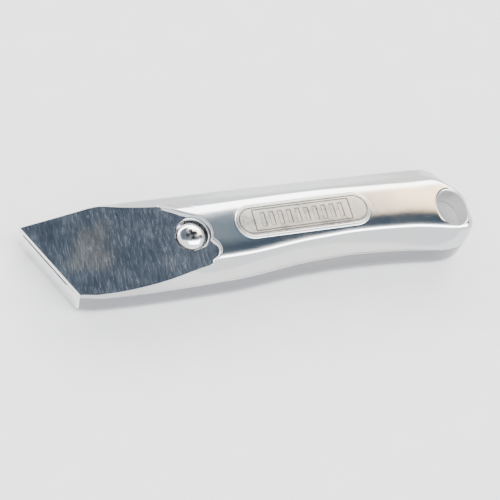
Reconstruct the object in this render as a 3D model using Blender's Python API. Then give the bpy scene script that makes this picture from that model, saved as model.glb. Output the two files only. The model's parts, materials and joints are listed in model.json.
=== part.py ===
"""Fixed-blade skiving knife: two cast half shells closed by one screw, with a skew
blade between them at the nose and spare blades in the handle.

Lengths are in metres. +X runs from the nose to the tail, +Y to the spine and +Z out
of the front face. The knife rests on the flat back of its back shell at z = 0.
"""

import math

import bmesh
import bpy
from mathutils import Matrix, Vector

MM = 0.001

# Outline of the joint face: spine and belly edges as x, y pairs from nose to tail.
SPINE = [(-85.5, 9.75), (-80.0, 10.75), (-65.5, 12.95), (-57.5, 14.25), (-53.5, 15.05),
         (-48.5, 15.65), (-35.5, 16.05), (-17.5, 16.45), (8.5, 16.85), (38.5, 17.35),
         (54.5, 17.55), (64.5, 17.55), (68.7, 16.85), (71.7, 14.75), (74.5, 10.85),
         (76.9, 6.95), (78.7, 3.75), (80.1, 0.55)]
BELLY = [(-85.5, -15.85), (-64.7, -16.05), (-58.1, -17.05), (-41.5, -17.25), (-24.5, -16.65),
         (-6.5, -15.55), (12.5, -13.05), (23.5, -12.25), (31.5, -11.95), (44.9, -12.35),
         (54.5, -13.05), (64.5, -14.35), (70.5, -14.75), (74.5, -13.75), (77.7, -11.25),
         (79.3, -8.05), (80.1, -4.45)]
# Extra width of the back shell below the joint, along the belly.
BULGE = [(-85.5, 0.3), (-39.5, 0.5), (10.5, 1.4), (32.5, 1.6), (54.5, 1.0), (66.5, 0.3),
         (80.1, 0.1)]
# Widths of the two slopes of the front shell: belly flank and spine flank.
FLANK_BELLY = [(-85.5, 0.5), (-58.5, 0.5), (-48.5, 1.0), (-36.5, 2.9), (-24.5, 5.3),
               (-17.5, 5.4), (-4.5, 5.0), (20.5, 4.8), (45.5, 5.5), (66.5, 5.6), (80.1, 2.4)]
FLANK_SPINE = [(-85.5, 0.3), (-57.5, 0.3), (-53.5, 2.6), (-49.5, 6.2), (-44.5, 8.0),
               (-36.5, 8.4), (-27.5, 7.8), (20.5, 6.4), (50.5, 7.4), (66.5, 7.4),
               (80.1, 2.4)]

JOINT_Z = 10.0            # height of the joint between the shells
GAP = 0.3                 # clearance between neighbouring pieces
FRONT_H = 8.0             # front shell, joint to front face
TAIL_X = 80.1             # end of the tail
TAIL_R = 5.2              # rounding of the tail end
FRONT_TOP = (-80.0, 10.75)     # slanted front face, spine end
FRONT_LOW = (-64.7, -16.05)    # slanted front face, belly end

# Flat ground on the nose: z = GROUND_Z + GROUND_X * x + GROUND_Y * y.
GROUND_Z = 18.59
GROUND_X = 0.090
GROUND_Y = 0.035

SCREW_X = -24.9
SCREW_Y = -0.75
COUNTERBORE_R = 6.0
COUNTERBORE_Z = 13.0
SCREW_HOLE_R = 2.8
SHANK_R = 2.45            # M5 screw
SHANK_END_Z = 3.6
HEAD_R = 5.05
HEAD_Z = 14.25            # underside of the head
HEAD_H = 2.6
WASHER_R = 5.3
WASHER_BORE_R = 2.65
WASHER_Z = 13.15
WASHER_T = 0.9
INSERT_R = 3.7
INSERT_BORE_R = 2.54
INSERT_Z = (3.4, 9.6)

BLADE_T = 0.65
BLADE_TOP = 8.75           # blade edges across the knife
BLADE_LOW = -10.25
BLADE_REAR = -30.7
BED_Z = 9.0               # floor of the blade bed
BLADE_Z = 9.08

POCKET_X = (-11.5, 42.5)  # pocket for the spare blades
POCKET_Y = (-7.05, 12.75)
POCKET_Z = 5.2
FRONT_POCKET_Z = 14.2
SPARES = 3
SPARE_Z = 5.3
SPARE_STEP = 0.95
SPARE_SHIFT = (68.8, 3.6)

HOLE_X = 71.8
HOLE_Y = -2.15
HOLE_R = (5.6, 7.2)         # half widths of the oval hanging hole

BADGE_X = 15.5
BADGE_Y = 1.35
BADGE_LEN = 50.0
BADGE_H = 12.6
BADGE_RISE = 0.35
BADGE_TURN = math.radians(1.4)

PEGS = [(-14.5, 9.55), (55.5, 7.55)]
PEG_R = 2.0


def clear_scene():
    for obj in list(bpy.data.objects):
        bpy.data.objects.remove(obj, do_unlink=True)


def collection(name):
    made = bpy.data.collections.new(name)
    bpy.context.scene.collection.children.link(made)
    return made


def material(name, colour, metallic, roughness):
    mat = bpy.data.materials.new(name)
    mat.use_nodes = True
    shader = mat.node_tree.nodes["Principled BSDF"]
    shader.inputs["Base Color"].default_value = (*colour, 1.0)
    shader.inputs["Metallic"].default_value = metallic
    shader.inputs["Roughness"].default_value = roughness
    return mat


def look_up(table, x):
    """Smooth value of a table of x, value pairs."""
    if x <= table[0][0]:
        return table[0][1]
    for k in range(len(table) - 1):
        x0, y0 = table[k]
        x1, y1 = table[k + 1]
        if x <= x1:
            before = table[k - 1] if k > 0 else (x0 - (x1 - x0), y0 - (y1 - y0))
            after = table[k + 2] if k + 2 < len(table) else (x1 + (x1 - x0), y1 + (y1 - y0))
            s0 = (y1 - before[1]) / (x1 - before[0])
            s1 = (after[1] - y0) / (after[0] - x0)
            t = (x - x0) / (x1 - x0)
            span = x1 - x0
            return ((2 * t ** 3 - 3 * t ** 2 + 1) * y0 + (t ** 3 - 2 * t ** 2 + t) * span * s0
                    + (3 * t ** 2 - 2 * t ** 3) * y1 + (t ** 3 - t ** 2) * span * s1)
    return table[-1][1]


def tail_factor(x, low):
    """Share of the full height left at x, rounding down to low at the tail end."""
    left = TAIL_X - x
    if left >= TAIL_R:
        return 1.0
    drop = TAIL_R - math.sqrt(max(0.0, TAIL_R ** 2 - (TAIL_R - left) ** 2))
    return 1.0 - (1.0 - low) * drop / TAIL_R


def front_section(x):
    low = look_up(BELLY, x)
    high = look_up(SPINE, x)
    room = min(1.0, (high - low) / 27.0)
    h = FRONT_H * tail_factor(x, 0.36)
    b = look_up(FLANK_BELLY, x) * room
    s = look_up(FLANK_SPINE, x) * room
    z = JOINT_Z + GAP / 2
    mid = (low + b + high - s) / 2
    return [(low, z), (low + 0.05 * b, z + 0.10 * h), (low + 0.40 * b, z + 0.50 * h),
            (low + 0.76 * b, z + 0.84 * h), (low + 0.90 * b, z + 0.935 * h),
            (low + 1.10 * b, z + 0.98 * h), (low + 1.40 * b, z + 0.995 * h),
            (mid, z + 1.01 * h),
            (high - 1.35 * s, z + 0.985 * h), (high - 1.08 * s, z + 0.955 * h),
            (high - 0.85 * s, z + 0.86 * h), (high - 0.20 * s, z + 0.50 * h),
            (high - 0.06 * s, z + 0.42 * h), (high, z + 0.32 * h), (high, z)]


def back_section(x):
    low = look_up(BELLY, x)
    high = look_up(SPINE, x)
    out = look_up(BULGE, x)
    room = min(1.0, (high - low) / 27.0)
    top = JOINT_Z - GAP / 2
    base = top * (1.0 - tail_factor(x, 0.45))
    h = top - base
    return [(high, top), (high, base + 0.42 * h), (high - 0.5 * room, base + 0.24 * h),
            (high - 1.6 * room, base + 0.10 * h), (high - 3.2 * room, base + 0.02 * h),
            (high - 4.6 * room, base),
            (low + 3.4 * room, base), (low + 1.9 * room - out, base + 0.03 * h),
            (low + 0.7 * room - out, base + 0.12 * h), (low - 0.9 * out, base + 0.26 * h),
            (low - out, base + 0.45 * h), (low - 0.55 * out, base + 0.75 * h), (low, top)]


def stations():
    xs = [-83.5, -80.0, -75.5, -70.5, -65.5, -61.5, -57.5, -55.5, -53.5, -51.0, -48.5,
          -45.5, -42.5, -39.5, -36.5, -33.5, -30.5, -27.5, -24.5, -20.5, -15.5, -10.5,
          -4.5, 1.5, 7.5, 13.5, 19.5, 25.5, 31.5, 37.5, 43.5, 49.5, 54.5, 59.5, 63.5,
          66.5, 68.7, 70.7, 72.5, 74.3, 75.8, 77.0, 78.0, 78.8, 79.4, 79.85, 80.1]
    return xs


def loft(section, xs):
    """Closed mesh through the sections at xs."""
    bm = bmesh.new()
    rings = []
    for x in xs:
        ring = [bm.verts.new((x * MM, y * MM, z * MM)) for y, z in section(x)]
        rings.append(ring)
    count = len(rings[0])
    for a, b in zip(rings, rings[1:]):
        for k in range(count):
            n = (k + 1) % count
            bm.faces.new((a[k], a[n], b[n], b[k]))
    bm.faces.new(rings[0])
    bm.faces.new(list(reversed(rings[-1])))
    bmesh.ops.recalc_face_normals(bm, faces=bm.faces)
    return bm


def slice_off(bm, point, normal):
    """Remove what lies on the normal's side of a plane and close the cut."""
    geom = bm.verts[:] + bm.edges[:] + bm.faces[:]
    cut = bmesh.ops.bisect_plane(bm, geom=geom, dist=1e-7, plane_co=Vector(point) * MM,
                                 plane_no=Vector(normal), clear_outer=True)
    edges = [e for e in cut["geom_cut"] if isinstance(e, bmesh.types.BMEdge)]
    bmesh.ops.contextual_create(bm, geom=edges)
    bmesh.ops.recalc_face_normals(bm, faces=bm.faces)


def front_normal():
    dx = FRONT_LOW[0] - FRONT_TOP[0]
    dy = FRONT_LOW[1] - FRONT_TOP[1]
    return Vector((dy, -dx, 0.0)).normalized()


def finish(bm, name, where, mat=None):
    bmesh.ops.remove_doubles(bm, verts=bm.verts, dist=1e-6)
    bmesh.ops.recalc_face_normals(bm, faces=bm.faces)
    mesh = bpy.data.meshes.new(name)
    bm.to_mesh(mesh)
    bm.free()
    obj = bpy.data.objects.new(name, mesh)
    where.objects.link(obj)
    if mat:
        mesh.materials.append(mat)
    return obj


def cylinder(name, where, x, y, z0, z1, r, sides=48, r_top=None, mat=None):
    bm = bmesh.new()
    bmesh.ops.create_cone(bm, cap_ends=True, segments=sides, radius1=r * MM,
                          radius2=(r if r_top is None else r_top) * MM, depth=(z1 - z0) * MM,
                          matrix=Matrix.Translation(Vector((x, y, (z0 + z1) / 2)) * MM))
    return finish(bm, name, where, mat)


def prism(name, where, outline, z0, z1, mat=None):
    """Straight solid over a plan outline of x, y pairs."""
    bm = bmesh.new()
    face = bm.faces.new([bm.verts.new((x * MM, y * MM, z0 * MM)) for x, y in outline])
    top = bmesh.ops.extrude_face_region(bm, geom=[face])
    verts = [v for v in top["geom"] if isinstance(v, bmesh.types.BMVert)]
    bmesh.ops.translate(bm, verts=verts, vec=(0.0, 0.0, (z1 - z0) * MM))
    return finish(bm, name, where, mat)


def rounded_box(x0, x1, y0, y1, r, steps=6):
    """Plan outline of a rectangle with rounded corners."""
    out = []
    for cx, cy, start in ((x1 - r, y1 - r, 0), (x0 + r, y1 - r, 90),
                          (x0 + r, y0 + r, 180), (x1 - r, y0 + r, 270)):
        for k in range(steps + 1):
            a = math.radians(start + 90 * k / steps)
            out.append((cx + r * math.cos(a), cy + r * math.sin(a)))
    return out


def tail_hole(steps=56):
    """Plan outline of the oval hanging hole."""
    angles = [math.tau * k / steps for k in range(steps)]
    return [(HOLE_X + HOLE_R[0] * math.cos(a), HOLE_Y + HOLE_R[1] * math.sin(a)) for a in angles]


def combine(obj, cutter, operation="DIFFERENCE"):
    mod = obj.modifiers.new(cutter.name, "BOOLEAN")
    mod.operation = operation
    mod.solver = "EXACT"
    mod.object = cutter
    cutter.hide_render = True
    cutter.display_type = "WIRE"


def nose_step_outline():
    """Plan outline ahead of the step between the ground flat and the handle."""
    step = [(-59.5, 29.55), (-38.0, 29.55), (-33.9, 10.05), (-29.3, 8.85), (-26.1, 7.25)]
    for deg in range(64, -21, -12):
        a = math.radians(deg)
        step.append((SCREW_X + 6.9 * math.cos(a), SCREW_Y + 6.9 * math.sin(a)))
    step += [(-17.7, -4.05), (-16.8, -5.65), (-16.2, -7.35), (-16.4, -8.95), (-17.3, -10.35),
             (-18.9, -11.45), (-20.1, -13.05), (-20.7, -30.45), (-89.5, -30.45), (-89.5, 29.55)]
    return step


def ground_cutter(where):
    """Solid above the ground flat and ahead of the step."""
    bm = bmesh.new()
    verts = []
    for x, y in nose_step_outline():
        z = GROUND_Z + GROUND_X * x + GROUND_Y * y
        verts.append(bm.verts.new((x * MM, y * MM, z * MM)))
    face = bm.faces.new(verts)
    top = bmesh.ops.extrude_face_region(bm, geom=[face])
    moved = [v for v in top["geom"] if isinstance(v, bmesh.types.BMVert)]
    bmesh.ops.translate(bm, verts=moved, vec=(0.0, 0.0, 14.0 * MM))
    return finish(bm, "cut_ground_flat", where)


def front_line(y, inset):
    """x of a line parallel to the slanted front face, inset behind it."""
    slope = (FRONT_LOW[0] - FRONT_TOP[0]) / (FRONT_LOW[1] - FRONT_TOP[1])
    run = inset / abs(front_normal().x)
    return FRONT_TOP[0] + slope * (y - FRONT_TOP[1]) + run


def blade_outline(shift_x, shift_y):
    low = BLADE_LOW
    high = BLADE_TOP
    rear = BLADE_REAR
    notch = [(-51.5, 2.0), (-41.5, 2.0)]
    out = [(front_line(low, 1.2), low), (rear, low), (rear, high)]
    for x, depth in reversed(notch):
        out += [(x + 1.5, high), (x + 1.0, high - depth), (x - 1.0, high - depth),
                (x - 1.5, high)]
    out.append((front_line(high, 1.2), high))
    return [(x + shift_x, y + shift_y) for x, y in out]


def blade(name, where, z0, shift_x, shift_y, mat):
    """Skew blade with its sharpened end parallel to the nose."""
    obj_outline = blade_outline(shift_x, shift_y)
    bm = bmesh.new()
    face = bm.faces.new([bm.verts.new((x * MM, y * MM, z0 * MM)) for x, y in obj_outline])
    top = bmesh.ops.extrude_face_region(bm, geom=[face])
    verts = [v for v in top["geom"] if isinstance(v, bmesh.types.BMVert)]
    bmesh.ops.translate(bm, verts=verts, vec=(0.0, 0.0, BLADE_T * MM))
    # One sharpening slope on the upper side, back from the slanted end.
    normal = front_normal()
    edge = Vector((front_line(0.0, 1.2) + shift_x, shift_y, z0 + 0.06))
    slope = Vector((normal.x * 0.26, normal.y * 0.26, 1.0)).normalized()
    geom = bm.verts[:] + bm.edges[:] + bm.faces[:]
    cut = bmesh.ops.bisect_plane(bm, geom=geom, dist=1e-7, plane_co=edge * MM,
                                 plane_no=slope, clear_outer=True)
    rim = [e for e in cut["geom_cut"] if isinstance(e, bmesh.types.BMEdge)]
    bmesh.ops.contextual_create(bm, geom=rim)
    return finish(bm, name, where, mat)


def add_badge(where):
    """Raised pad with half-round ends on the front face."""
    r = BADGE_H / 2
    half = BADGE_LEN / 2 - r
    out = []
    for sign, start in ((1, -90), (-1, 90)):
        for k in range(13):
            a = math.radians(start + 180 * k / 12)
            x = sign * half + r * math.cos(a)
            y = r * math.sin(a)
            out.append((BADGE_X + x * math.cos(BADGE_TURN) - y * math.sin(BADGE_TURN),
                        BADGE_Y + x * math.sin(BADGE_TURN) + y * math.cos(BADGE_TURN)))
    top = JOINT_Z + GAP / 2 + FRONT_H * 1.01
    return prism("add_badge_pad", where, out, top - 1.5, top + BADGE_RISE)


def build_back_shell(parts, cutters, metal):
    bm = loft(back_section, stations())
    slice_off(bm, (*FRONT_TOP, 0.0), front_normal())
    shell = finish(bm, "back_shell", parts, metal)
    bed = rounded_box(-100.0, BLADE_REAR + 0.5, BLADE_LOW - 0.35, BLADE_TOP + 0.35, 0.6, 3)
    combine(shell, prism("cut_blade_bed", cutters, bed, BED_Z, JOINT_Z + 2.0))
    pocket = rounded_box(*POCKET_X, *POCKET_Y, 3.0)
    combine(shell, prism("cut_spare_pocket", cutters, pocket, POCKET_Z, JOINT_Z + 2.0))
    combine(shell, cylinder("cut_insert_seat", cutters, SCREW_X, SCREW_Y, INSERT_Z[0] - 0.05,
                            JOINT_Z + 2.0, INSERT_R + 0.05))
    combine(shell, cylinder("cut_screw_end", cutters, SCREW_X, SCREW_Y, 2.6,
                            INSERT_Z[0] + 1.0, SHANK_R + 0.4, 32))
    combine(shell, prism("cut_tail_hole_back", cutters, tail_hole(), -2.0, JOINT_Z + 2.0))
    for k, (x, y) in enumerate(PEGS):
        combine(shell, cylinder(f"add_peg_{k + 1}", cutters, x, y, JOINT_Z - 3.0,
                                JOINT_Z + 3.0, PEG_R, 32, PEG_R * 0.85), "UNION")
    return shell


def build_front_shell(parts, cutters, metal):
    bm = loft(front_section, stations())
    slice_off(bm, (*FRONT_TOP, 0.0), front_normal())
    shell = finish(bm, "front_shell", parts, metal)
    combine(shell, add_badge(cutters), "UNION")
    combine(shell, ground_cutter(cutters))
    combine(shell, cylinder("cut_counterbore", cutters, SCREW_X, SCREW_Y, COUNTERBORE_Z,
                            30.0, COUNTERBORE_R, 64))
    combine(shell, cylinder("cut_screw_hole", cutters, SCREW_X, SCREW_Y, 5.0, 20.0,
                            SCREW_HOLE_R, 40))
    combine(shell, prism("cut_tail_hole_front", cutters, tail_hole(), 5.0, 30.0))
    hollow = rounded_box(POCKET_X[0] + 1.0, POCKET_X[1] - 1.0, POCKET_Y[0] + 1.6,
                         POCKET_Y[1] - 2.4, 3.0)
    combine(shell, prism("cut_front_hollow", cutters, hollow, 5.0, FRONT_POCKET_Z))
    for k, (x, y) in enumerate(PEGS):
        combine(shell, cylinder(f"cut_peg_socket_{k + 1}", cutters, x, y, 5.0,
                                JOINT_Z + 3.6, PEG_R + 0.1, 32))
    return shell


def build_screw(parts, cutters, steel):
    """Pan-head screw turned from one profile, with a cross recess."""
    top = HEAD_Z + HEAD_H
    profile = [(0.0, SHANK_END_Z), (SHANK_R - 0.6, SHANK_END_Z), (SHANK_R, SHANK_END_Z + 0.6),
               (SHANK_R, HEAD_Z), (HEAD_R - 0.15, HEAD_Z), (HEAD_R, HEAD_Z + 0.2),
               (HEAD_R, HEAD_Z + 0.75), (HEAD_R * 0.97, HEAD_Z + 1.15),
               (HEAD_R * 0.90, HEAD_Z + 1.60), (HEAD_R * 0.78, HEAD_Z + 2.02),
               (HEAD_R * 0.60, HEAD_Z + 2.34), (HEAD_R * 0.36, HEAD_Z + 2.53), (0.0, top)]
    bm = bmesh.new()
    verts = [bm.verts.new((r * MM, 0.0, z * MM)) for r, z in profile]
    edges = [bm.edges.new(pair) for pair in zip(verts, verts[1:])]
    bmesh.ops.spin(bm, geom=verts + edges, cent=(0.0, 0.0, 0.0), axis=(0.0, 0.0, 1.0),
                   angle=math.tau, steps=48, use_merge=True)
    bmesh.ops.remove_doubles(bm, verts=bm.verts, dist=1e-6)
    # The head's origin sits on the screw's own axis.
    obj = finish(bm, "clamp_screw", parts, steel)
    obj.location = (SCREW_X * MM, SCREW_Y * MM, 0.0)
    for k, turn in enumerate((8.0, 98.0)):
        cut = bmesh.new()
        bmesh.ops.create_cone(cut, cap_ends=True, segments=4, radius1=0.6 * MM * 1.41,
                              radius2=1.0 * MM * 1.41, depth=2.6 * MM)
        bmesh.ops.rotate(cut, verts=cut.verts, matrix=Matrix.Rotation(math.pi / 4, 3, "Z"))
        bmesh.ops.scale(cut, verts=cut.verts, vec=(2.7, 0.85, 1.0))
        bmesh.ops.rotate(cut, verts=cut.verts, matrix=Matrix.Rotation(math.radians(turn), 3, "Z"))
        bmesh.ops.translate(cut, verts=cut.verts,
                            vec=(SCREW_X * MM, SCREW_Y * MM, (top + 0.05) * MM))
        combine(obj, finish(cut, f"cut_cross_{k + 1}", cutters))
    return obj


def build_ring(name, where, r_out, r_in, z0, z1, mat, sides=56):
    """Flat ring about the screw axis."""
    bm = bmesh.new()
    profile = [(r_out, z0), (r_out, z1), (r_in, z1), (r_in, z0)]
    verts = [bm.verts.new((r * MM, 0.0, z * MM)) for r, z in profile]
    edges = [bm.edges.new((verts[k], verts[(k + 1) % 4])) for k in range(4)]
    bmesh.ops.spin(bm, geom=verts + edges, cent=(0.0, 0.0, 0.0), axis=(0.0, 0.0, 1.0),
                   angle=math.tau, steps=sides, use_merge=True)
    bmesh.ops.remove_doubles(bm, verts=bm.verts, dist=1e-6)
    obj = finish(bm, name, where, mat)
    obj.location = (SCREW_X * MM, SCREW_Y * MM, 0.0)
    return obj


def build():
    clear_scene()
    parts = collection("skiving_knife")
    cutters = collection("cutters")
    build_back_shell(parts, cutters, material("cast_alloy_back", (0.62, 0.64, 0.66), 1.0, 0.28))
    build_front_shell(parts, cutters, material("cast_alloy_front", (0.64, 0.66, 0.68), 1.0, 0.26))
    build_screw(parts, cutters, material("plated_screw", (0.72, 0.73, 0.74), 1.0, 0.18))
    build_ring("lock_washer", parts, WASHER_R, WASHER_BORE_R, WASHER_Z, WASHER_Z + WASHER_T,
               material("washer_steel", (0.45, 0.46, 0.48), 1.0, 0.32))
    build_ring("threaded_insert", parts, INSERT_R, INSERT_BORE_R, *INSERT_Z,
               material("insert_brass", (0.68, 0.52, 0.26), 1.0, 0.3), 48)
    blade("blade", parts, BLADE_Z, 0.0, 0.0, material("blade_steel", (0.55, 0.56, 0.58), 1.0, 0.22))
    for k in range(SPARES):
        mat = material(f"spare_blade_steel_{k + 1}", (0.50, 0.52, 0.55), 1.0, 0.25)
        blade(f"spare_blade_{k + 1}", parts, SPARE_Z + k * SPARE_STEP, *SPARE_SHIFT, mat)


build()
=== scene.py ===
import json
import math
import bmesh
import bpy
from mathutils import Matrix, Vector

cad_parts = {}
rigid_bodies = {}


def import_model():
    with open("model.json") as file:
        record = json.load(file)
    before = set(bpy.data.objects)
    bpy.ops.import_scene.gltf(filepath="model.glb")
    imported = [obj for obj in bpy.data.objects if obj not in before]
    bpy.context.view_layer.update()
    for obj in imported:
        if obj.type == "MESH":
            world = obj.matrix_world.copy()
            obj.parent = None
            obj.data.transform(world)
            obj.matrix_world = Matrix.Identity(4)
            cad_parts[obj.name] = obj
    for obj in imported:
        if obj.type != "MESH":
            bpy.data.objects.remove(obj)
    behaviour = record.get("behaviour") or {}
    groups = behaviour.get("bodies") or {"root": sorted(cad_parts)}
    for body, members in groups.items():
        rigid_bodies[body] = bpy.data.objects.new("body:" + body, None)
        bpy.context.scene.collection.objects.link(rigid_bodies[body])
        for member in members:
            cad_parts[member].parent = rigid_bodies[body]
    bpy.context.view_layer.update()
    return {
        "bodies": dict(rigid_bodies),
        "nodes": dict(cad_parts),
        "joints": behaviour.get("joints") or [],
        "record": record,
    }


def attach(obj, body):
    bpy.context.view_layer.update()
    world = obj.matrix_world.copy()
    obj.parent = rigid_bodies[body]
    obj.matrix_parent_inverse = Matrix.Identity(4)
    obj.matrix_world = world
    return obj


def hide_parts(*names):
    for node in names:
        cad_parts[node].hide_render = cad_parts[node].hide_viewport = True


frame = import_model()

mm = 0.001


class Socket:
    # wraps an output so that plain expressions add the Math nodes
    def __init__(self, tree, out):
        self.tree = tree
        self.out = out

    def math(self, operation, a, b):
        node = self.tree.nodes.new("ShaderNodeMath")
        node.operation = operation
        for k, value in enumerate((a, b)):
            if isinstance(value, Socket):
                self.tree.links.new(value.out, node.inputs[k])
            else:
                node.inputs[k].default_value = value
        return Socket(self.tree, node.outputs[0])

    def __add__(self, other):
        return self.math("ADD", self, other)

    def __sub__(self, other):
        return self.math("SUBTRACT", self, other)

    def __mul__(self, other):
        return self.math("MULTIPLY", self, other)

    def __truediv__(self, other):
        return self.math("DIVIDE", self, other)

    def __radd__(self, other):
        return self.math("ADD", other, self)

    def __rsub__(self, other):
        return self.math("SUBTRACT", other, self)

    def __rmul__(self, other):
        return self.math("MULTIPLY", other, self)

    def __rtruediv__(self, other):
        return self.math("DIVIDE", other, self)

    def abs(self):
        return self.math("ABSOLUTE", self, 0.0)

    def over(self, least):
        return self.math("MAXIMUM", self, least)

    def under(self, most):
        return self.math("MINIMUM", self, most)

    def root(self):
        return self.math("POWER", self, 0.5)

    def wrap(self):
        return self.math("FRACT", self, 0.0)


class Shading:
    # one node tree, filled from the shader backwards
    def __init__(self, holder):
        self.tree = holder.node_tree
        self.tree.nodes.clear()

    def node(self, kind, settings=None, inputs=None, out=0):
        made = self.tree.nodes.new(kind)
        for name, value in (settings or {}).items():
            setattr(made, name, value)
        for name, value in (inputs or {}).items():
            if isinstance(value, Socket):
                self.tree.links.new(value.out, made.inputs[name])
            else:
                made.inputs[name].default_value = value
        return Socket(self.tree, made.outputs[out]) if len(made.outputs) else None

    def coords(self, scale=(1.0, 1.0, 1.0), turn=(0.0, 0.0, 0.0)):
        place = self.node("ShaderNodeTexCoord", out="Object")
        return self.node("ShaderNodeMapping", None,
                         {"Vector": place, "Scale": scale, "Rotation": turn})

    def axes(self, vector):
        made = self.tree.nodes.new("ShaderNodeSeparateXYZ")
        self.tree.links.new(vector.out, made.inputs[0])
        return [Socket(self.tree, made.outputs[k]) for k in range(3)]

    def noise(self, scale, detail=3.0, rough=0.5, vector=None):
        return self.node("ShaderNodeTexNoise", None,
                         {"Vector": vector or self.coords(), "Scale": scale, "Detail": detail,
                          "Roughness": rough})

    def step(self, value, low, high):
        # 0 below low, 1 above high
        return self.node("ShaderNodeMapRange", {"clamp": True, "interpolation_type": "SMOOTHSTEP"},
                         {"Value": value, "From Min": low, "From Max": high})

    def mix(self, fac, a, b):
        made = self.tree.nodes.new("ShaderNodeMix")
        made.data_type = "RGBA"
        for name, value in ((0, fac), (6, a), (7, b)):
            if isinstance(value, Socket):
                self.tree.links.new(value.out, made.inputs[name])
            elif name == 0:
                made.inputs[name].default_value = value
            else:
                made.inputs[name].default_value = (*value, 1.0)
        return Socket(self.tree, made.outputs[2])

    def bump(self, height, strength, distance, normal=None):
        inputs = {"Height": height, "Strength": strength, "Distance": distance}
        if normal:
            inputs["Normal"] = normal
        return self.node("ShaderNodeBump", None, inputs)

    def finish(self, inputs):
        shader = self.node("ShaderNodeBsdfPrincipled", None, inputs)
        self.node("ShaderNodeOutputMaterial", None, {"Surface": shader})


def newMaterial(name):
    mat = bpy.data.materials.new(name)
    mat.use_nodes = True
    return mat, Shading(mat)


knife = {
    "spine": [(-85.5, 9.75), (-80.0, 10.75), (-65.5, 12.95), (-57.5, 14.25), (-53.5, 15.05),
              (-48.5, 15.65), (-35.5, 16.05), (-17.5, 16.45), (8.5, 16.85), (38.5, 17.35),
              (54.5, 17.55), (64.5, 17.55), (68.7, 16.85), (71.7, 14.75), (74.5, 10.85),
              (76.9, 6.95), (78.7, 3.75), (80.1, 0.55)],
    "belly": [(-85.5, -15.85), (-64.7, -16.05), (-58.1, -17.05), (-41.5, -17.25),
              (-24.5, -16.65), (-6.5, -15.55), (12.5, -13.05), (23.5, -12.25), (31.5, -11.95),
              (44.9, -12.35), (54.5, -13.05), (64.5, -14.35), (70.5, -14.75), (74.5, -13.75),
              (77.7, -11.25), (79.3, -8.05), (80.1, -4.45)],
    "bulge": [(-85.5, 0.3), (-39.5, 0.5), (10.5, 1.4), (32.5, 1.6), (54.5, 1.0), (66.5, 0.3),
              (80.1, 0.1)],
    "flankBelly": [(-85.5, 0.5), (-58.5, 0.5), (-48.5, 1.0), (-36.5, 2.9), (-24.5, 5.3),
                   (-17.5, 5.4), (-4.5, 5.0), (20.5, 4.8), (45.5, 5.5), (66.5, 5.6), (80.1, 2.4)],
    "flankSpine": [(-85.5, 0.3), (-57.5, 0.3), (-53.5, 2.6), (-49.5, 6.2), (-44.5, 8.0),
                   (-36.5, 8.4), (-27.5, 7.8), (20.5, 6.4), (50.5, 7.4), (66.5, 7.4), (80.1, 2.4)],
    "jointZ": 10.0, "gap": 0.3, "frontHeight": 8.0, "tailX": 80.1, "tailRound": 5.2,
    "frontTop": (-80.0, 10.75), "frontLow": (-64.7, -16.05), "noseLean": 1.15,
    "fullWidth": 27.0, "tailLeft": {"front": 0.36, "back": 0.45},
    # height of the ground flat's plane at the origin, then its slopes along x and y
    "ground": (18.59, 0.090, 0.035),
    "screw": (-24.9, -0.75),
    "edgeRound": 0.22, "jointRound": 0.05,
    # edge of the step behind the ground flat, as pairs of y and x
    "step": [(-16.6, -20.9), (-13.1, -20.3), (-11.7, -19.2), (-10.5, -17.5), (-9.1, -16.5),
             (-7.4, -16.2), (-5.7, -16.75), (-4.3, -17.9), (-3.2, -18.5), (-1.71, -18.1),
             (-0.27, -18.02), (1.15, -18.27), (2.49, -18.81), (3.69, -19.61), (4.69, -20.7),
             (5.6, -22.2), (7.25, -26.1), (9.1, -29.6), (11.0, -33.4), (13.0, -34.6),
             (18.0, -36.0)],
    "stepFoot": 1.0, "stepEdge": 0.3, "mostSlant": 3.4,
}
# columns of both shells' sheets where the tail rounds off
tailEnd = [75.0, 76.0, 76.9, 77.7, 78.4, 78.9, 79.3, 79.6, 79.8, 79.95, 80.05, 80.1]
# angles above which an edge of a shell stays sharp
sharpAngle = {"front": 24.0, "back": 35.0}


def lookUp(table, x):
    # smooth value of a table of x, value pairs
    if x <= table[0][0]:
        return table[0][1]
    for k in range(len(table) - 1):
        x0, y0 = table[k]
        x1, y1 = table[k + 1]
        if x <= x1:
            before = table[k - 1] if k > 0 else (x0 - (x1 - x0), y0 - (y1 - y0))
            after = table[k + 2] if k + 2 < len(table) else (x1 + (x1 - x0), y1 + (y1 - y0))
            s0 = (y1 - before[1]) / (x1 - before[0])
            s1 = (after[1] - y0) / (after[0] - x0)
            t = (x - x0) / (x1 - x0)
            span = x1 - x0
            return ((2 * t ** 3 - 3 * t ** 2 + 1) * y0 + (t ** 3 - 2 * t ** 2 + t) * span * s0
                    + (3 * t ** 2 - 2 * t ** 3) * y1 + (t ** 3 - t ** 2) * span * s1)
    return table[-1][1]


def tailFactor(x, low):
    # share of the height left near the tail, down to low at its very end
    left = knife["tailX"] - x
    r = knife["tailRound"]
    if left >= r:
        return 1.0
    drop = r - math.sqrt(max(0.0, r * r - (r - left) ** 2))
    return 1.0 - (1.0 - low) * drop / r


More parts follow.
